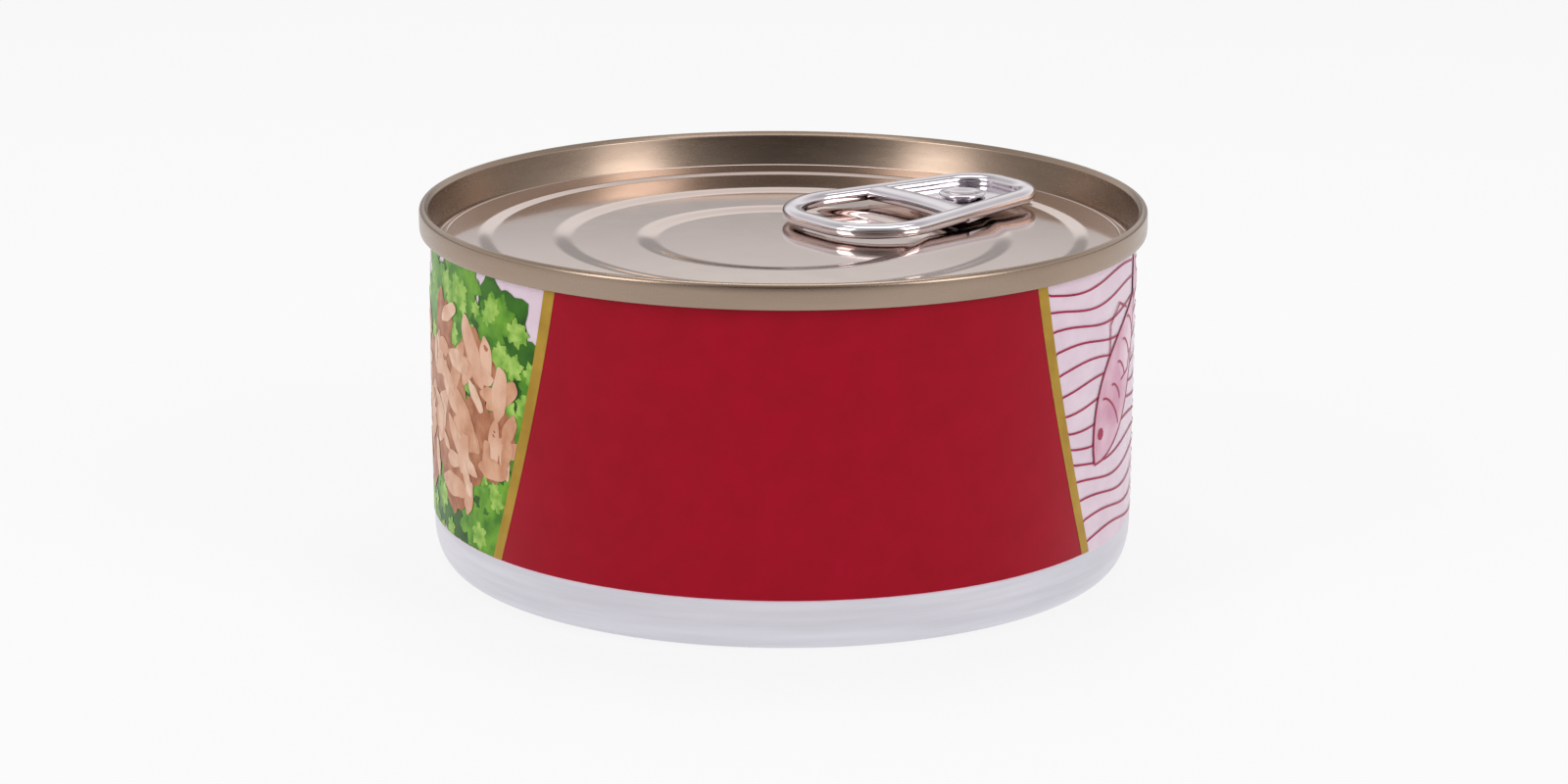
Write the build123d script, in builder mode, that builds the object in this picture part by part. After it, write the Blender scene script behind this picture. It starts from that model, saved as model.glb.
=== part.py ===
"""A shut, drawn steel food can with a paper label and an easy-open end with a ring pull.

Millimetres, +Z up. The origin is the centre of the standing ring, on the surface the can rests on.
"""

import os

from build123d import *

# Whole can
can_height = 42.9
body_radius = 42.1
label_thickness = 0.23
label_bottom = 6.0

# Base: rounded corner, standing ring, recessed bottom panel
corner_width = 2.3
corner_height = 4.7
standing_ring_width = 1.4
base_recess = 2.2
base_wall_run = 1.6
base_bead_radius = 27.0
base_bead_width = 3.0
base_bead_depth = 0.5

# Double seam
seam_radius = 43.4
seam_height = 3.0
seam_foot_radius = 43.25
crest_round = 0.5
crest_flat = 0.2

# End panel: depths are below the crest of the seam
wall_top_radius = 42.3
wall_top_depth = 0.6
wall_foot_radius = 41.6
groove_depth = 4.5
groove_width = 0.5
panel_radius = 40.8
panel_depth = 3.9
end_underside_depth = 5.6
# Each step of the panel: outer radius, inner radius, drop
panel_steps = [(36.5, 34.7, 0.25), (27.5, 25.2, 0.2), (17.9, 15.0, 0.25)]

# Ring pull, in its own plane: s runs from the can's axis to the nose
pull_angle = 38.0
pull_tilt = 1.7
pull_height = 1.75
pull_top_depth = 2.1
pull_pivot = 20.0
ring_centre = 12.7
ring_corner_radius = 8.8
ring_corner_offset = 2.2
nose_end = 36.85
nose_corner_radius = 6.4
nose_corner_offset = 1.35
strip_width = 2.5
strip_round = 0.72
web_start = 19.8
web_end = 22.8
pocket_depth = 1.15
hole_corner_radius = 1.6

# Rivet, formed out of the end panel
rivet_reach = 28.0
rivet_radius = 2.0
rivet_head_radius = 2.9
rivet_head_height = 0.45
rivet_head_bottom_depth = 2.88

seam_bottom = can_height - seam_height
panel_top = can_height - panel_depth
rivet_head_bottom = can_height - rivet_head_bottom_depth
end_underside = can_height - end_underside_depth
foot_radius = body_radius - corner_width
recess_radius = foot_radius - standing_ring_width

os.makedirs("parts", exist_ok=True)

# --- Body: the drawn can with its contents, closed under the end ---
with BuildPart() as can_body:
    with BuildSketch(Plane.XZ) as body_profile:
        with BuildLine():
            EllipticalCenterArc(
                (foot_radius, corner_height), corner_width, corner_height, start_angle=-90, arc_size=90
            )
            Line((body_radius, corner_height), (body_radius, end_underside))
            Line((body_radius, end_underside), (0, end_underside))
            Line((0, end_underside), (0, base_recess))
            Line((0, base_recess), (recess_radius - base_wall_run, base_recess))
            Line((recess_radius - base_wall_run, base_recess), (recess_radius, 0))
            Line((recess_radius, 0), (foot_radius, 0))
        make_face()
    revolve(axis=Axis.Z)
    with BuildSketch(Plane.XZ) as bead_profile:
        with Locations((base_bead_radius, base_recess)):
            Rectangle(base_bead_width, 2 * base_bead_depth)
    revolve(axis=Axis.Z, mode=Mode.SUBTRACT)
can_body.part.label = "can_body"
export_step(can_body.part, "parts/can_body.step")

# --- Label: a paper band wrapped round the body, up to the seam ---
with BuildPart() as label:
    with BuildSketch(Plane.XY.offset(label_bottom)) as label_band:
        Circle(body_radius + label_thickness)
        Circle(body_radius, mode=Mode.SUBTRACT)
    extrude(amount=seam_bottom - label_bottom)
label.part.label = "label"
export_step(label.part, "parts/label.step")


def panel_points():
    """Points of the panel's top from its rim to its centre, as (radius, height)."""
    height = panel_top
    points = [(panel_radius, height)]
    for outer, inner, drop in panel_steps:
        points.append((outer, height))
        height -= drop
        points.append((inner, height))
    points.append((0, height))
    return points


def pull_circle_places(centre, offset):
    """Two places side by side across the ring pull, in its own plane."""
    return [(centre - pull_pivot, offset), (centre - pull_pivot, -offset)]


rivet_place = Location((0, 0, 0), (0, 0, pull_angle)) * Location((rivet_reach, 0, 0))
pull_top = can_height - pull_top_depth
pull_frame = (
    Location((0, 0, 0), (0, 0, pull_angle))
    * Location((pull_pivot, 0, pull_top), (0, -pull_tilt, 0))
)
pull_plane = Plane(pull_frame)
pull_base = pull_plane.offset(-pull_height)
pull_floor = pull_plane.offset(-pocket_depth)
nose_centre = nose_end - nose_corner_radius
pull_length = 60.0

# --- End: double seam, chuck wall, groove and stepped panel with its rivet ---
with BuildPart() as lid:
    with BuildSketch(Plane.XZ) as end_profile:
        with BuildLine():
            Polyline(
                *panel_points(),
                (0, end_underside),
                (body_radius, end_underside),
                (body_radius, seam_bottom),
                (seam_foot_radius, seam_bottom),
                (seam_radius, seam_bottom + seam_height / 2),
                (seam_radius, can_height - crest_round),
                (seam_radius - crest_round, can_height),
                (wall_top_radius + crest_flat, can_height),
                (wall_top_radius, can_height - wall_top_depth),
                (wall_foot_radius, can_height - groove_depth),
                (wall_foot_radius - groove_width, can_height - groove_depth),
                (panel_radius, panel_top),
            )
        make_face()
    revolve(axis=Axis.Z)
    with Locations(rivet_place * Location((0, 0, end_underside))):
        Cylinder(
            rivet_radius,
            rivet_head_bottom - end_underside,
            align=(Align.CENTER, Align.CENTER, Align.MIN),
        )
    with Locations(rivet_place * Location((0, 0, rivet_head_bottom))):
        Cylinder(
            rivet_head_radius,
            rivet_head_height,
            align=(Align.CENTER, Align.CENTER, Align.MIN),
        )
lid.part.label = "lid"
export_step(lid.part, "parts/lid.step")

# --- Ring pull: curled rim with a finger hole, a web and a nose pocket on the rivet ---
with BuildPart() as ring_pull:
    with BuildSketch(pull_base) as pull_outline:
        with Locations(*pull_circle_places(ring_centre, ring_corner_offset)):
            Circle(ring_corner_radius)
        with Locations(*pull_circle_places(nose_centre, nose_corner_offset)):
            Circle(nose_corner_radius)
        make_hull()
    extrude(amount=pull_height)
    fillet(ring_pull.edges(), strip_round)
    with BuildSketch(pull_base) as finger_hole:
        with Locations(*pull_circle_places(ring_centre, ring_corner_offset)):
            Circle(ring_corner_radius - strip_width)
        with Locations(*pull_circle_places(nose_centre, nose_corner_offset)):
            Circle(nose_corner_radius - strip_width)
        make_hull()
        with Locations((web_start - pull_pivot, 0)):
            Rectangle(
                pull_length, pull_length, align=(Align.MIN, Align.CENTER), mode=Mode.SUBTRACT
            )
        fillet(finger_hole.vertices().group_by(Axis.X)[-1], hole_corner_radius)
    extrude(amount=pull_height, mode=Mode.SUBTRACT)
    with BuildSketch(pull_floor) as nose_pocket:
        with Locations(*pull_circle_places(ring_centre, ring_corner_offset)):
            Circle(ring_corner_radius - strip_width)
        with Locations(*pull_circle_places(nose_centre, nose_corner_offset)):
            Circle(nose_corner_radius - strip_width)
        make_hull()
        with Locations((web_end - pull_pivot, 0)):
            Rectangle(
                pull_length, pull_length, align=(Align.MAX, Align.CENTER), mode=Mode.SUBTRACT
            )
    extrude(amount=pull_height, mode=Mode.SUBTRACT)
    with Locations(rivet_place * Location((0, 0, end_underside))):
        Cylinder(
            rivet_radius,
            can_height - end_underside,
            align=(Align.CENTER, Align.CENTER, Align.MIN),
            mode=Mode.SUBTRACT,
        )
ring_pull.part.label = "ring_pull"
export_step(ring_pull.part, "parts/ring_pull.step")
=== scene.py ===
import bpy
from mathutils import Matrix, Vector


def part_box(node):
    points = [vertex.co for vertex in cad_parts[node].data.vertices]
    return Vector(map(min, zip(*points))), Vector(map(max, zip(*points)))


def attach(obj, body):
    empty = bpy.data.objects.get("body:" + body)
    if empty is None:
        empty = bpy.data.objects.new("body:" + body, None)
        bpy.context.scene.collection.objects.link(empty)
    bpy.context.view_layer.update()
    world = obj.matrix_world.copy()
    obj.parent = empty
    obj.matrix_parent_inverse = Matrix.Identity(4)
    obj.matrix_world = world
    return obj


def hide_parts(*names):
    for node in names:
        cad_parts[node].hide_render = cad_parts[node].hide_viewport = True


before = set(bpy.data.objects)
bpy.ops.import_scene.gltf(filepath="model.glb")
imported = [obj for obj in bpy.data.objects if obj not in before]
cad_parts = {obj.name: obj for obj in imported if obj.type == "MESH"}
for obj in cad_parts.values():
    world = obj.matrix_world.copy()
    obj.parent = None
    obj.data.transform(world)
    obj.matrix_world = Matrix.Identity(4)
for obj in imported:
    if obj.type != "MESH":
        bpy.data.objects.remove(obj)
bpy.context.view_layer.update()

import math
import random

import bmesh
import bpy
from mathutils import Matrix, Vector
from mathutils.geometry import delaunay_2d_cdt

MM = 0.001
random.seed(7)

LID_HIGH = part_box("lid")[1]
LABEL_LOW, LABEL_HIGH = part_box("label")
BODY_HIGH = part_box("can_body")[1]
CREST = LID_HIGH[2]
SEAM_RADIUS = LID_HIGH[0]
BODY_RADIUS = BODY_HIGH[0]
LABEL_RADIUS = LABEL_HIGH[0]
SEAM_BOTTOM = LABEL_HIGH[2]


# ---------------------------------------------------------------- mesh helpers
SHARP_CORNER = math.radians(38)
ROUND_STEPS = 288
ON_AXIS = 1e-7


def finished(name, mesh, material):
    """An object of this mesh that rides on the can, smooth except at sharp corners."""
    mesh.polygons.foreach_set("use_smooth", [True] * len(mesh.polygons))
    mesh.set_sharp_from_angle(angle=SHARP_CORNER)
    piece = bpy.data.objects.new(name, mesh)
    bpy.context.collection.objects.link(piece)
    piece.data.materials.append(material)
    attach(piece, "root")
    return piece


def revolved(name, profile, material, steps=ROUND_STEPS):
    """A closed piece turned about Z from (radius, height) points that start and end on the axis."""
    bm = bmesh.new()
    rings = []
    for radius, height in profile:
        if radius < ON_AXIS:
            rings.append([bm.verts.new((0, 0, height))])
            continue
        angles = [2 * math.pi * k / steps for k in range(steps)]
        rings.append([bm.verts.new((radius * math.cos(a), radius * math.sin(a), height)) for a in angles])
    for low, high in zip(rings, rings[1:]):
        for k in range(steps):
            m = (k + 1) % steps
            if len(low) == 1:
                bm.faces.new((low[0], high[k], high[m]))
            elif len(high) == 1:
                bm.faces.new((low[k], high[0], low[m]))
            else:
                bm.faces.new((low[k], high[k], high[m], low[m]))
    bmesh.ops.recalc_face_normals(bm, faces=bm.faces)
    mesh = bpy.data.meshes.new(name)
    bm.to_mesh(mesh)
    bm.free()
    return finished(name, mesh, material)


def band(name, radius, low, high, thickness, material, steps=ROUND_STEPS):
    """A thin closed band round the can."""
    bm = bmesh.new()
    corners = [(radius, low), (radius, high), (radius - thickness, high), (radius - thickness, low)]
    rows = []
    for r, z in corners:
        angles = [2 * math.pi * k / steps for k in range(steps)]
        rows.append([bm.verts.new((r * math.cos(a), r * math.sin(a), z)) for a in angles])
    for j in range(4):
        for k in range(steps):
            m = (k + 1) % steps
            bm.faces.new((rows[j][k], rows[j][m], rows[(j + 1) % 4][m], rows[(j + 1) % 4][k]))
    bmesh.ops.recalc_face_normals(bm, faces=bm.faces)
    mesh = bpy.data.meshes.new(name)
    bm.to_mesh(mesh)
    bm.free()
    return finished(name, mesh, material)


def arc(centre, radius, start, end, count=8):
    """Points of an arc in a profile, angles in degrees, radius a number or (across, up)."""
    across, up = radius if isinstance(radius, tuple) else (radius, radius)
    steps = [math.radians(start + (end - start) * k / count) for k in range(count + 1)]
    return [(centre[0] + across * math.cos(a), centre[1] + up * math.sin(a)) for a in steps]


def eased(start, end, count=8):
    """Points of a soft step between two profile points, held flat just outside it."""
    hold = 0.25 * MM
    points = [(start[0] - hold, start[1])]
    for k in range(count + 1):
        t = k / count
        ease = t * t * (3 - 2 * t)
        points.append((start[0] + (end[0] - start[0]) * t, start[1] + (end[1] - start[1]) * ease))
    return points + [(end[0] + hold, end[1])]


# ---------------------------------------------------------------- materials
class Nodes:
    """A node material with its Principled shader, and short ways to add to it."""

    def __init__(self, name, **inputs):
        self.material = bpy.data.materials.new(name)
        self.material.use_nodes = True
        self.tree = self.material.node_tree
        self.shader = self.tree.nodes["Principled BSDF"]
        for socket, value in inputs.items():
            self.shader.inputs[socket.replace("_", " ")].default_value = value
        self.place = self.add("ShaderNodeTexCoord").outputs["Object"]

    def add(self, kind, **settings):
        node = self.tree.nodes.new(kind)
        for key, value in settings.items():
            setattr(node, key, value)
        return node

    def link(self, source, target):
        self.tree.links.new(source, target)

    def maths(self, operation, first, second):
        node = self.add("ShaderNodeMath", operation=operation)
        for socket, value in zip(node.inputs, (first, second)):
            if isinstance(value, (int, float)):
                socket.default_value = value
            else:
                self.link(value, socket)
        return node.outputs[0]

    def noise(self, scale, stretch=(1, 1, 1)):
        mapping = self.add("ShaderNodeMapping")
        mapping.inputs["Scale"].default_value = stretch
        self.link(self.place, mapping.inputs["Vector"])
        node = self.add("ShaderNodeTexNoise")
        node.inputs["Scale"].default_value = scale
        node.inputs["Detail"].default_value = 4.0
        self.link(mapping.outputs[0], node.inputs["Vector"])
        return node.outputs["Fac"]

    def ramp(self, factor, *stops):
        """stops are (position, colour)."""
        node = self.add("ShaderNodeValToRGB")
        elements = node.color_ramp.elements
        while len(elements) < len(stops):
            elements.new(0.5)
        for element, (position, colour) in zip(elements, stops):
            element.position = position
            element.color = (*colour, 1)
        self.link(factor, node.inputs["Fac"])
        return node.outputs["Color"]

    def colour(self, source):
        self.link(source, self.shader.inputs["Base Color"])

    def roughness(self, factor, low, high):
        node = self.add("ShaderNodeMapRange")
        node.inputs["To Min"].default_value = low
        node.inputs["To Max"].default_value = high
        self.link(factor, node.inputs["Value"])
        self.link(node.outputs[0], self.shader.inputs["Roughness"])

    def bump(self, height, distance, strength=1.0):
        node = self.add("ShaderNodeBump")
        node.inputs["Distance"].default_value = distance
        node.inputs["Strength"].default_value = strength
        self.link(height, node.inputs["Height"])
        self.link(node.outputs[0], self.shader.inputs["Normal"])


def linear(red, green, blue):
    """An sRGB colour of 0 to 255 as the linear values that the sockets take."""
    shares = (red / 255, green / 255, blue / 255)
    return tuple(c / 12.92 if c <= 0.04045 else ((c + 0.055) / 1.055) ** 2.4 for c in shares)


def metal(name, colour, dark, low, high, grain=(1, 1, 1), scale=60, bump=2e-6):
    """Metal with soft mottling in its colour, gloss and relief."""
    nodes = Nodes(name, Metallic=1.0)
    mottle = nodes.noise(scale, grain)
    nodes.colour(nodes.ramp(mottle, (0.3, dark), (0.7, colour)))
    nodes.roughness(nodes.noise(scale * 5, grain), low, high)
    nodes.bump(nodes.noise(scale * 12, grain), bump)
    return nodes.material


PANEL_METAL = metal(
    "lacquered_steel", linear(214, 194, 186), linear(206, 186, 176), 0.06, 0.12, bump=2e-7
)
# The seam is the same lacquered steel as the panel, its colour darkened as painted shade for the dark
# surroundings its face mirrors
SEAM_PAINTED_SHADE_METAL = metal(
    "lacquered_seam_painted_shade", linear(166, 146, 130), linear(154, 134, 118), 0.22, 0.32, (1, 1, 6), 40, 4e-7
)
BODY_METAL = metal(
    "satin_tinplate", linear(222, 220, 228), linear(206, 204, 212), 0.24, 0.36, (1, 1, 20), 40, 1e-6
)
PULL_METAL = metal("bright_steel", linear(236, 230, 234), linear(214, 206, 212), 0.07, 0.16, bump=3e-7)


def paper(name, colour, second, scale=300):
    """Glossy printed paper with a little unevenness in its ink and its relief."""
    nodes = Nodes(name, Coat_Weight=0.04, Coat_Roughness=0.15, Specular_IOR_Level=0.12)
    nodes.colour(nodes.ramp(nodes.noise(scale), (0.35, second), (0.65, colour)))
    nodes.roughness(nodes.noise(900), 0.28, 0.38)
    nodes.bump(nodes.noise(1500), 4e-6, 0.5)
    return nodes.material


CRIMSON = paper("print_crimson", linear(168, 0, 34), linear(161, 0, 29))
GOLD = paper("print_gold", linear(190, 152, 60), linear(172, 134, 46))
PINK = paper("print_pink", linear(240, 220, 232), linear(234, 211, 225))
WAVE = paper("print_wave", linear(176, 42, 84), linear(160, 30, 72))
SKIN = paper("print_skin", linear(244, 216, 228), linear(214, 150, 176), 120)
LEAF_DARK = paper("print_leaf_dark", linear(66, 122, 32), linear(30, 78, 16), 260)
LEAF_MID = paper("print_leaf_mid", linear(120, 176, 52), linear(66, 126, 30), 420)
LEAF_LIGHT = paper("print_leaf_light", linear(178, 214, 104), linear(112, 168, 52), 600)
CHUNK_SHADE = paper("print_chunk_shade", linear(196, 132, 96), linear(160, 92, 60), 500)
CHUNK_TONES = (
    ((240, 196, 168), (216, 158, 126)),
    ((230, 178, 146), (204, 142, 108)),
    ((246, 210, 184), (224, 172, 142)),
)
CHUNKS = [
    paper(f"print_chunk_{k}", linear(*light), linear(*dark), 260 + 90 * k)
    for k, (light, dark) in enumerate(CHUNK_TONES)
]


# ---------------------------------------------------------------- body and end
def depth(value):
    """A height that is this many millimetres under the crest."""
    return CREST - value * MM


def side_of_body():
    """The body's profile from the middle of the base to the top of its rounded corner."""
    recess = 2.2 * MM
    foot = BODY_RADIUS - 2.3 * MM
    inner = foot - 1.4 * MM
    base = [(0, recess)]
    for radius in (12 * MM, 25.5 * MM):
        base += eased((radius, recess), (radius + 1.0 * MM, recess + 0.4 * MM), 4)
        base += eased((radius + 2.0 * MM, recess + 0.4 * MM), (radius + 3.0 * MM, recess), 4)
    base += eased((inner - 1.6 * MM, recess), (inner, 0.12 * MM), 8)[:-1]
    base += [(inner + 0.25 * MM, 0.02 * MM), (inner + 0.5 * MM, 0), (foot - 0.2 * MM, 0)]
    corner = arc((foot, 4.7 * MM), (2.3 * MM, 4.7 * MM), -90, 0, 14)
    return base + corner


# The body ends just under the end's flat underside
BODY_TOP = depth(5.3)
body = revolved(
    "body_shell",
    side_of_body() + [(BODY_RADIUS, BODY_TOP), (0, BODY_TOP)],
    BODY_METAL,
)
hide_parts("can_body")


# Each step of the panel: inner radius, outer radius, and their depths
PANEL_STEPS = ((15.0, 17.6, 4.6, 4.35), (25.2, 27.5, 4.35, 4.15), (34.7, 36.5, 4.15, 3.9))


def end_profile():
    """The end from the middle of its panel out over the seam and back under."""
    points = [(0, depth(4.6))]
    for inner, outer, low, high in PANEL_STEPS:
        points += eased((inner * MM, depth(low)), (outer * MM, depth(high)), 8)
    points += [(39.9 * MM, depth(3.9)), (40.1 * MM, depth(3.9))]
    points += [(40.2 * MM, depth(3.97)), (40.34 * MM, depth(3.97)), (40.44 * MM, depth(3.9))]
    points += arc((40.75 * MM, depth(4.12)), 0.2 * MM, 90, 0, 5)
    points += arc((41.3 * MM, depth(4.22)), 0.3 * MM, 190, 350, 8)
    points += arc((42.55 * MM, depth(0.6)), 0.25 * MM, 176, 120, 4)
    points += arc((42.85 * MM, depth(0.55)), 0.55 * MM, 100, 10, 10)
    points += [(SEAM_RADIUS, depth(1.2)), (SEAM_RADIUS, depth(2.2)), (43.36 * MM, depth(2.7))]
    points += arc((43.05 * MM, depth(2.75)), 0.28 * MM, 0, -90, 6)
    points += [(BODY_RADIUS, SEAM_BOTTOM), (BODY_RADIUS - 0.5 * MM, depth(5.0)), (0, depth(5.2))]
    return points


# Faces outside this radius take the seam metal, whose darker colour is painted shade
SEAM_PAINTED_SHADE_FROM = 41.7 * MM
end = revolved("easy_open_end", end_profile(), PANEL_METAL)
end.data.materials.append(SEAM_PAINTED_SHADE_METAL)
for face in end.data.polygons:
    if math.hypot(face.center[0], face.center[1]) > SEAM_PAINTED_SHADE_FROM:
        face.material_index = 1
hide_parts("lid")

# The rivet is at the middle of the ring pull's nose
PULL_ANGLE = math.radians(38)
RIVET_REACH = 28 * MM
RIVET = Vector((math.cos(PULL_ANGLE), math.sin(PULL_ANGLE), 0)) * RIVET_REACH


def rivet_profile():
    """The rivet's button, from the middle of its top down to the panel."""
    top = depth(2.43)
    head = [(0, top - 0.12 * MM), (1.3 * MM, top - 0.12 * MM), (1.6 * MM, top)]
    head += arc((2.7 * MM, top - 0.2 * MM), 0.2 * MM, 90, -90, 8)
    return head + [(2.0 * MM, top - 0.45 * MM), (2.0 * MM, depth(4.2)), (0, depth(4.4))]


rivet = revolved("rivet", rivet_profile(), PULL_METAL, 96)
rivet.data.transform(Matrix.Translation(RIVET))
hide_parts("lid")

# ---------------------------------------------------------------- ring pull
PULL_HEIGHT = 1.75 * MM
PULL_STRIP = 2.5 * MM
PULL_PIVOT = 20 * MM
PULL_TILT = math.radians(1.7)
PULL_TOP = depth(2.1)
# From the pull's own plane, with its middle height at zero, to its place on the end
PULL_FRAME = (
    Matrix.Rotation(PULL_ANGLE, 4, "Z")
    @ Matrix.Translation((PULL_PIVOT, 0, PULL_TOP - PULL_HEIGHT / 2))
    @ Matrix.Rotation(-PULL_TILT, 4, "Y")
    @ Matrix.Translation((-PULL_PIVOT, 0, 0))
)
# The outline has two corners at each end, alike on both sides: along, aside and radius
RING_CORNER = (12.7 * MM, 2.2 * MM, 8.8 * MM)
NOSE_CORNER = (30.45 * MM, 1.35 * MM, 6.4 * MM)


def pull_outline(inset, count=28):
    """The outline drawn in by inset, as points and their outward directions."""
    (ring_x, ring_y, ring_r), (nose_x, nose_y, nose_r) = RING_CORNER, NOSE_CORNER
    reach = math.hypot(nose_x - ring_x, ring_y - nose_y)
    slope = math.atan2(nose_y - ring_y, nose_x - ring_x)
    lean = math.pi / 2 - math.asin((ring_r - nose_r) / reach) + slope
    # Each corner's centre, radius, and first and last direction
    corners = (
        (nose_x, nose_y, nose_r, 0, lean),
        (ring_x, ring_y, ring_r, lean, math.pi),
        (ring_x, -ring_y, ring_r, math.pi, 2 * math.pi - lean),
        (nose_x, -nose_y, nose_r, 2 * math.pi - lean, 2 * math.pi),
    )
    outline = []
    for x, y, radius, first, last in corners:
        for k in range(count + 1):
            a = first + (last - first) * k / count
            way = (math.cos(a), math.sin(a))
            outline.append((x + (radius - inset) * way[0], y + (radius - inset) * way[1], way))
    return outline


def pull_piece(name, bm):
    """Finishes a piece of the ring pull and puts it in its place on the rivet."""
    bmesh.ops.remove_doubles(bm, verts=bm.verts, dist=1e-6)
    bmesh.ops.recalc_face_normals(bm, faces=bm.faces)
    bm.transform(PULL_FRAME)
    mesh = bpy.data.meshes.new(name)
    bm.to_mesh(mesh)
    bm.free()
    piece = finished(name, mesh, PULL_METAL)
    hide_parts("ring_pull")


def rounded(width, height, power, count=28):
    """A closed rounded section, (across, up), squarer with a higher power."""
    section = []
    for k in range(count):
        c, t = math.cos(2 * math.pi * k / count), math.sin(2 * math.pi * k / count)
        across = math.copysign(abs(c) ** (2 / power), c) * width / 2
        section.append((across, math.copysign(abs(t) ** (2 / power), t) * height / 2))
    return section


def skinned(bm, rows, around):
    """Faces between rows of points; around closes the last row onto the first."""
    made = [[bm.verts.new(p) for p in row] for row in rows]
    pairs = list(zip(made, made[1:] + made[:1])) if around else list(zip(made, made[1:]))
    for low, high in pairs:
        for k in range(len(low)):
            m = (k + 1) % len(low)
            bm.faces.new((low[k], low[m], high[m], high[k]))
    if not around:
        bm.faces.new(made[0][::-1])
        bm.faces.new(made[-1])


def pull_rim():
    """The curled rim all round the ring and the nose."""
    bm = bmesh.new()
    section = rounded(PULL_STRIP, PULL_HEIGHT, 2.6)
    rows = [
        [(x + across * way[0], y + across * way[1], rise) for across, rise in section]
        for x, y, way in pull_outline(PULL_STRIP / 2)
    ]
    skinned(bm, rows, True)
    pull_piece("pull_rim", bm)


def pull_web():
    """The bar between the finger hole and the nose, bowed towards the nose in its middle."""
    bm = bmesh.new()
    middle, half_span = 21.4 * MM, 8.2 * MM
    width, height = 3.5 * MM, PULL_HEIGHT - 0.25 * MM
    bow_of_ends, lower = 0.7 * MM, 0.02 * MM
    section = rounded(width, height, 4)
    half_count = 12
    rows = []
    for k in range(2 * half_count + 1):
        t = -1 + k / half_count
        bow = bow_of_ends * t * t
        rows.append([(middle - bow + across, t * half_span, rise - lower) for across, rise in section])
    skinned(bm, rows, False)
    pull_piece("pull_web", bm)


def pull_floor():
    """The nose's sunk floor, with its edge under the rim."""
    bm = bmesh.new()
    low, high = -0.8 * MM, -0.3 * MM
    back, inset = 21 * MM, 1.3 * MM
    edge = [(max(x, back), y) for x, y, way in pull_outline(inset)]
    rows = [[(x, y, z) for x, y in edge] for z in (low, high)]
    skinned(bm, rows, False)
    pull_piece("pull_floor", bm)


pull_rim()
pull_web()
pull_floor()

# ---------------------------------------------------------------- label
FIELD_CENTRE = 2.05 * MM
FIELD_TOP = 39.6 * MM
PAPER_SINK = 0.2 * MM
PAPER_THICKNESS = 0.03 * MM
# Printed layers are numbered outwards, this far apart, and layer 5 would be at the label's radius
LAYER_GAP = 0.03 * MM
LAST_LAYER = 5
PRINT_STEP = 1.2 * MM


def field_half(height):
    """Half the crimson field's width at this height, wider towards the base."""
    down = (FIELD_TOP - height) / MM
    return (29.55 + 0.19 * down + 0.0028 * down * down) * MM


label = band("label_paper", LABEL_RADIUS - PAPER_SINK, LABEL_LOW[2], SEAM_BOTTOM, PAPER_THICKNESS, PINK)
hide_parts("label")


def divided(outline, step):
    """The closed outline with points no further apart than step."""
    points = []
    for start, end in zip(outline, outline[1:] + outline[:1]):
        count = max(1, math.ceil(math.dist(start, end) / step))
        points += [
            (start[0] + (end[0] - start[0]) * k / count, start[1] + (end[1] - start[1]) * k / count)
            for k in range(count)
        ]
    return points


def wrapped_lines(name, outlines, material, layer):
    """Printed lines that may cross, each filled on its own and joined into one piece."""
    parts = [wrapped(f"{name}_{k}", [outline], material, layer) for k, outline in enumerate(outlines)]
    bm = bmesh.new()
    for part in parts:
        bm.from_mesh(part.data)
    bm.to_mesh(parts[0].data)
    bm.free()
    for part in parts[1:]:
        bpy.data.objects.remove(part)
    parts[0].name = name
    return parts[0]


def wrapped(name, outlines, material, layer):
    """Printed shapes: (length round the can, height) outlines filled and laid on the label."""
    step = PRINT_STEP
    points = []
    loops = []
    for outline in outlines:
        dense = divided(outline, step)
        loops.append(list(range(len(points), len(points) + len(dense))))
        points += [Vector(p) for p in dense]
    xs = [p[0] for p in points]
    ys = [p[1] for p in points]
    # Points inside, a little off the outlines' own, let the fill follow the round label
    for i in range(1, int((max(xs) - min(xs)) / step) + 1):
        for j in range(1, int((max(ys) - min(ys)) / (2 * step)) + 1):
            points.append(Vector((min(xs) + (i - 0.37) * step, min(ys) + (j - 0.41) * 2 * step)))
    done = delaunay_2d_cdt(points, [], loops, 1, 1e-7)
    radius = LABEL_RADIUS - (LAST_LAYER - layer) * LAYER_GAP
    used = sorted({v for face in done[2] for v in face})
    index = {v: k for k, v in enumerate(used)}
    verts = []
    for v in used:
        turn = done[0][v][0] / LABEL_RADIUS
        verts.append((radius * math.sin(turn), -radius * math.cos(turn), done[0][v][1]))
    mesh = bpy.data.meshes.new(name)
    mesh.from_pydata(verts, [], [[index[v] for v in face] for face in done[2]])
    piece = finished(name, mesh, material)
    return piece


LOW = LABEL_LOW[2] + 0.25 * MM
HIGH = SEAM_BOTTOM
GOLD_WIDTH = 1.6 * MM
HALF_TURN = math.pi * LABEL_RADIUS


def field_side(side, extra, low, high, centre, count=24):
    """Points down or up one edge of a crimson field, extra outside it."""
    heights = [low + (high - low) * k / count for k in range(count + 1)]
    return [(centre + side * (field_half(z) + extra), z) for z in heights]


# The same field is printed on the front and on the back
fields = []
borders = []
for centre in (FIELD_CENTRE, FIELD_CENTRE + HALF_TURN):
    fields.append(field_side(1, 0, LOW, HIGH, centre) + field_side(-1, 0, HIGH, LOW, centre))
    for side in (1, -1):
        borders.append(
            field_side(side, 0, LOW, HIGH, centre) + field_side(side, GOLD_WIDTH, HIGH, LOW, centre)
        )
wrapped("crimson_fields", fields, CRIMSON, 1)
wrapped("gold_borders", borders, GOLD, 2)


def held_in(outline, side):
    """The outline kept inside the panel on this side of the front field, between the borders."""
    kept = []
    for x, z in outline:
        z = min(max(z, LOW), HIGH)
        edge = field_half(z) + GOLD_WIDTH
        out = min(max(side * (x - FIELD_CENTRE), edge), HALF_TURN - edge)
        kept.append((FIELD_CENTRE + side * out, z))
    return kept


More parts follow.
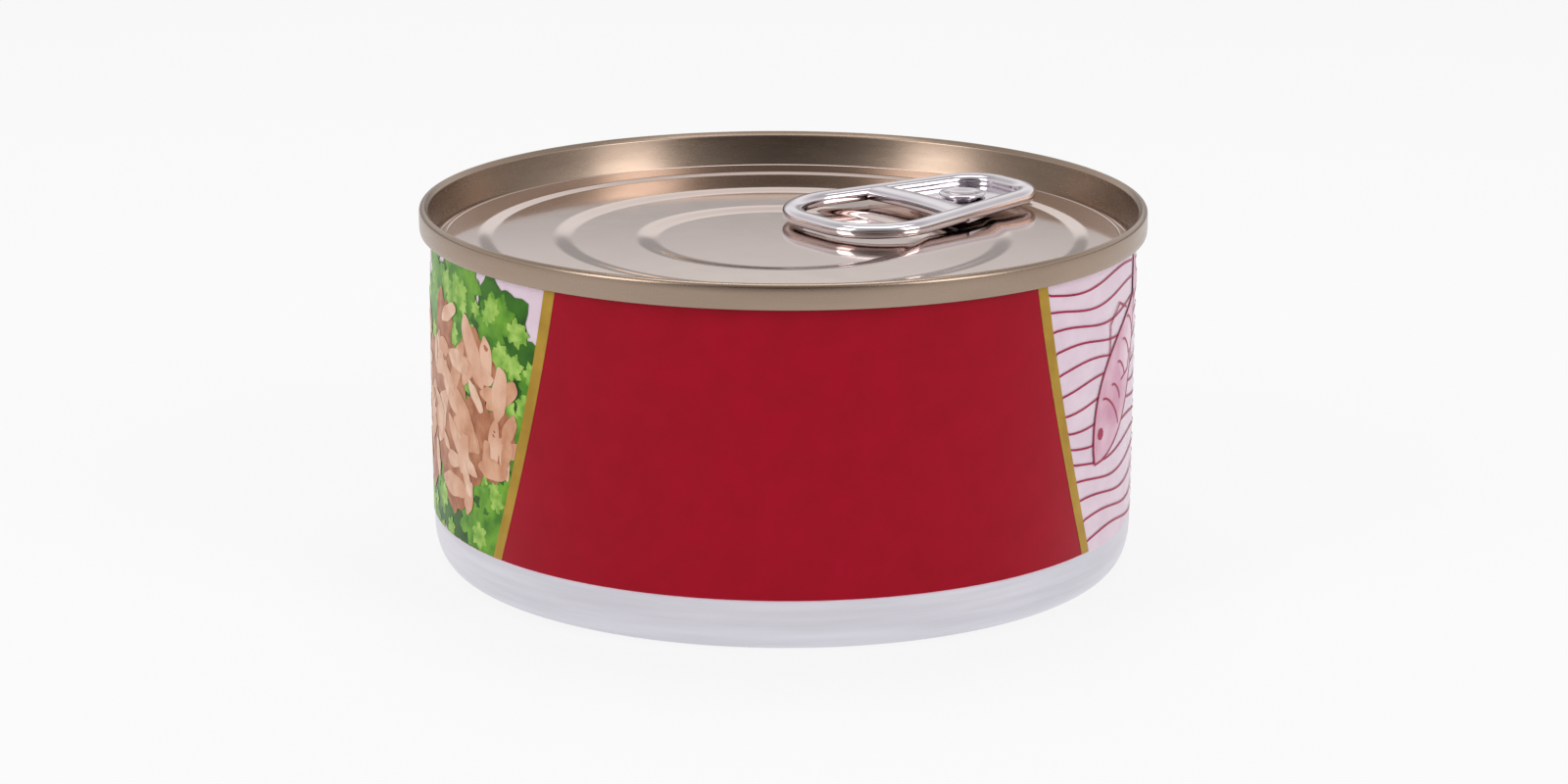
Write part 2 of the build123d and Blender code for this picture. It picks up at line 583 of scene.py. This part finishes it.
def placed(outline, centre, tilt):
    """The outline turned by tilt and moved to centre."""
    c, t = math.cos(tilt), math.sin(tilt)
    return [(centre[0] + x * c - z * t, centre[1] + x * t + z * c) for x, z in outline]


def blob(centre, across, up, tilt, lobes, depth_of_lobes, count=40):
    """A rounded irregular outline, its lobes as deep as this share of its size."""
    start = random.uniform(0, 6.3)
    outline = []
    for k in range(count):
        a = 2 * math.pi * k / count
        wave = math.sin(lobes * a + start) + 0.5 * math.sin((2 * lobes + 1) * a + 2 * start)
        swell = 1 + depth_of_lobes * wave
        outline.append((across * swell * math.cos(a), up * swell * math.sin(a)))
    return placed(outline, centre, tilt)


def scattered(count, centre, spread, size, lobes, depth_of_lobes, narrow=1.0):
    """Blobs strewn in an oval, each kept inside the left panel, narrow a share of their length."""
    blobs = []
    for _ in range(count):
        turn, reach = random.uniform(0, 6.3), math.sqrt(random.random())
        aside, rise = spread[0] * math.cos(turn), spread[1] * math.sin(turn)
        place = (centre[0] + reach * aside, centre[1] + reach * rise)
        across = size * random.uniform(0.7, 1.3)
        tilt = random.uniform(0, 3.1)
        blobs.append(held_in(blob(place, across, across * narrow, tilt, lobes, depth_of_lobes), -1))
    return blobs


# Left panel: a generic heap of fish flakes on salad leaves
HEAP = (-52 * MM, 22 * MM)
wrapped("leaves_dark", scattered(60, HEAP, (27 * MM, 16 * MM), 4.4 * MM, 5, 0.14), LEAF_DARK, 1)
for k, (material, size) in enumerate(((LEAF_MID, 2.3 * MM), (LEAF_LIGHT, 1.2 * MM))):
    for part in range(2):
        leaves = scattered(55, HEAP, (27 * MM, 17 * MM), size, 6, 0.2)
        wrapped(f"leaves_{k}_{part}", leaves, material, 1.5 + k * 0.5)
wrapped("flakes_shade", scattered(70, HEAP, (17 * MM, 11 * MM), 3.2 * MM, 3, 0.1, 0.6), CHUNK_SHADE, 3)
# Each layer of flakes is smaller than the one under it
for k in range(6):
    flakes = scattered(11, HEAP, (17.5 * MM, 11.5 * MM), (3.2 - 0.2 * k) * MM, 2, 0.12, 0.42)
    wrapped(f"flakes_{k}", flakes, CHUNKS[k % len(CHUNKS)], 3.3 + 0.28 * k)


def ribbon(points, width):
    """The outline of a line of this width along the points."""
    left, right = [], []
    for k, (x, z) in enumerate(points):
        before, after = points[max(k - 1, 0)], points[min(k + 1, len(points) - 1)]
        dx, dz = after[0] - before[0], after[1] - before[1]
        size = math.hypot(dx, dz)
        left.append((x - dz / size * width / 2, z + dx / size * width / 2))
        right.append((x + dz / size * width / 2, z - dx / size * width / 2))
    return left + right[::-1]


# Right panel: plain waves and two simple fish
WAVE_GAP = 2.35 * MM
WAVE_RISE = 0.55 * MM
WAVE_LENGTH = 3.4 * MM
WAVE_LINE = 0.26 * MM
FISH_LINE = 0.3 * MM
waves = []
for row in range(15):
    height = LOW + (row + 0.6) * WAVE_GAP
    points = []
    for k in range(61):
        x = 30 * MM + k * 1.3 * MM
        points.append((x, height + WAVE_RISE * math.sin(x / WAVE_LENGTH + row * 0.9)))
    waves.append(held_in(ribbon(points, WAVE_LINE), 1))
wrapped("wave_lines", waves, WAVE, 1.5)


def fish(centre, length, tilt):
    """A plain fish, drawn from -1 to 1 along its length: filled outlines, and lines as ribbons."""
    half = length / 2

    def sized(points):
        return placed([(x * half, z * half) for x, z in points], centre, tilt)

    top = [(-1 + 1.7 * k / 20, 0.36 * math.sin(math.pi * (k / 20) ** 0.8)) for k in range(21)]
    under = [(x, -0.9 * z) for x, z in reversed(top)]
    tail = [(0.62, 0.03), (1.0, 0.32), (0.9, 0), (1.0, -0.32), (0.62, -0.03)]
    gill = [(-0.5 + 0.08 * math.cos(a / 5), 0.24 * math.sin(a / 5)) for a in range(-7, 8)]
    fin = [(-0.1, 0.36), (0.1, 0.52), (0.35, 0.44), (0.42, 0.22)]
    belly = [(-0.15, -0.06), (0.02, -0.2), (0.2, -0.16)]
    eye = [(-0.74 + 0.045 * math.cos(0.7 * k), 0.08 + 0.045 * math.sin(0.7 * k)) for k in range(10)]
    lines = [top, under, tail, gill, fin, belly, eye]
    for row in range(4):
        middle = -0.3 + 0.22 * row
        lines.append([(middle + 0.05 * math.cos(a / 4), 0.13 * math.sin(a / 4)) for a in range(-6, 7)])
    solid = sized(top + under[1:-1])
    return [solid, sized(tail)], [ribbon(sized(line), FISH_LINE) for line in lines]


# Each fish: its middle, its length and its tilt in radians
FISHES = (((52 * MM, 27 * MM), 27 * MM, 0.9), ((78 * MM, 17 * MM), 23 * MM, -0.4))
for k, (place, length, tilt) in enumerate(FISHES):
    solids, lines = fish(place, length, tilt)
    wrapped(f"fish_skin_{k}", [held_in(line, 1) for line in solids], SKIN, 2.5)
    wrapped_lines(f"fish_lines_{k}", [held_in(line, 1) for line in lines], WAVE, 3.5)

# ---------------------------------------------------------------- floor
FLOOR_SIZE = 4.0
bpy.ops.mesh.primitive_plane_add(size=FLOOR_SIZE, location=(0, 0, 0))
floor = bpy.context.object
floor.name = "floor"


# The share of plain white in the floor; the rest shows the object's shadow
WHITE_SHARE = 0.82


def stage_material(name, shade):
    """White to the camera and in reflections, with the object's shadow kept."""
    nodes = Nodes(name, Roughness=0.9)
    nodes.colour(nodes.ramp(nodes.noise(3), (0.4, (shade, shade, shade)), (0.6, (shade * 0.98,) * 3)))
    glow = nodes.add("ShaderNodeEmission")
    path = nodes.add("ShaderNodeLightPath")
    seen = nodes.maths("MAXIMUM", path.outputs["Is Camera Ray"], path.outputs["Is Glossy Ray"])
    seen = nodes.maths("MAXIMUM", seen, path.outputs["Is Transmission Ray"])
    share = nodes.maths("MULTIPLY", seen, WHITE_SHARE)
    mixer = nodes.add("ShaderNodeMixShader")
    nodes.link(share, mixer.inputs[0])
    nodes.link(nodes.shader.outputs[0], mixer.inputs[1])
    nodes.link(glow.outputs[0], mixer.inputs[2])
    nodes.link(mixer.outputs[0], nodes.tree.nodes["Material Output"].inputs["Surface"])
    return nodes.material


floor.data.materials.append(stage_material("white_floor", 0.9))

# ---------------------------------------------------------------- world
world = bpy.data.worlds.new("studio")
bpy.context.scene.world = world
world.use_nodes = True
tree = world.node_tree
tree.nodes.clear()
rays = tree.nodes.new("ShaderNodeLightPath")
coords = tree.nodes.new("ShaderNodeTexCoord")
direction = tree.nodes.new("ShaderNodeSeparateXYZ")
tree.links.new(coords.outputs["Generated"], direction.inputs[0])


def faded(axis, start, end, first, last):
    """A strength from first to last, as the direction goes from start to end along the axis."""
    node = tree.nodes.new("ShaderNodeMapRange")
    node.inputs["From Min"].default_value = start
    node.inputs["From Max"].default_value = end
    node.inputs["To Min"].default_value = first
    node.inputs["To Max"].default_value = last
    tree.links.new(direction.outputs[axis], node.inputs["Value"])
    return node.outputs[0]


def product(first, second):
    """Two strengths multiplied."""
    node = tree.nodes.new("ShaderNodeMath")
    node.operation = "MULTIPLY"
    tree.links.new(first, node.inputs[0])
    tree.links.new(second, node.inputs[1])
    return node.outputs[0]


def white_light():
    """A white background, its strength still to be set."""
    node = tree.nodes.new("ShaderNodeBackground")
    node.inputs["Color"].default_value = (1, 1, 1, 1)
    return node


def chosen(rays_of, others, theirs):
    """One background for the rays of this kind, and another for the others."""
    node = tree.nodes.new("ShaderNodeMixShader")
    tree.links.new(rays.outputs[rays_of], node.inputs[0])
    tree.links.new(others, node.inputs[1])
    tree.links.new(theirs, node.inputs[2])
    return node.outputs[0]


# The tent that the metal mirrors: dark in front, dimmer above, and darker along its lower edge
dark_front = faded("Y", -0.97, -0.4, 0.1, 0.95)
dim_above = faded("Z", 0.35, 0.8, 1.0, 0.55)
dark_edge = faded("Z", 0.214, 0.228, 0.42, 1.0)
reflected = white_light()
tree.links.new(product(dark_front, product(dark_edge, dim_above)), reflected.inputs["Strength"])
ambient = white_light()
ambient.inputs["Strength"].default_value = 0.42
seen = white_light()
seen.inputs["Strength"].default_value = 1.0
surroundings = chosen("Is Glossy Ray", ambient.outputs[0], reflected.outputs[0])
surroundings = chosen("Is Camera Ray", surroundings, seen.outputs[0])
output = tree.nodes.new("ShaderNodeOutputWorld")
tree.links.new(surroundings, output.inputs["Surface"])


# ---------------------------------------------------------------- lamps
def softbox(name, place, target, size, power):
    """A soft rectangular lamp that faces target."""
    lamp = bpy.data.lights.new(name, "AREA")
    lamp.shape = "RECTANGLE"
    lamp.size, lamp.size_y = size
    lamp.energy = power
    holder = bpy.data.objects.new(name, lamp)
    bpy.context.collection.objects.link(holder)
    holder.location = place
    holder.rotation_euler = (Vector(target) - Vector(place)).to_track_quat("-Z", "Y").to_euler()


AIM = (0, 0, 0.02)
softbox("softbox_left", (-0.62, -0.42, 0.42), AIM, (0.35, 0.5), 1.9)
softbox("softbox_right", (0.62, -0.42, 0.42), AIM, (0.35, 0.5), 1.9)
softbox("softbox_top", (0, 0.15, 0.8), AIM, (0.6, 0.4), 1.8)

# ---------------------------------------------------------------- camera
MID = CREST / 2
CAMERA_REACH = 504.29 * MM
CAMERA_RISE = math.radians(14.559)
CAMERA_ROLL = math.radians(0.237)
CAMERA_AIM = Vector((0.167 * MM, 0, MID - 2.14 * MM))
CAMERA_LENS = 95.9
eye = Vector((0, -math.cos(CAMERA_RISE) * CAMERA_REACH, MID + math.sin(CAMERA_RISE) * CAMERA_REACH))
forward = (CAMERA_AIM - eye).normalized()
level = forward.cross(Vector((0, 0, 1))).normalized()
upright = level.cross(forward)
right = level * math.cos(CAMERA_ROLL) + upright * math.sin(CAMERA_ROLL)
up = upright * math.cos(CAMERA_ROLL) - level * math.sin(CAMERA_ROLL)
lens = bpy.data.cameras.new("camera")
lens.lens = CAMERA_LENS
lens.sensor_width = 36
camera = bpy.data.objects.new("camera", lens)
bpy.context.collection.objects.link(camera)
turn = Matrix((right, up, -forward)).transposed().to_4x4()
camera.matrix_world = Matrix.Translation(eye) @ turn
bpy.context.scene.camera = camera

bpy.context.scene.view_settings.view_transform = "Standard"
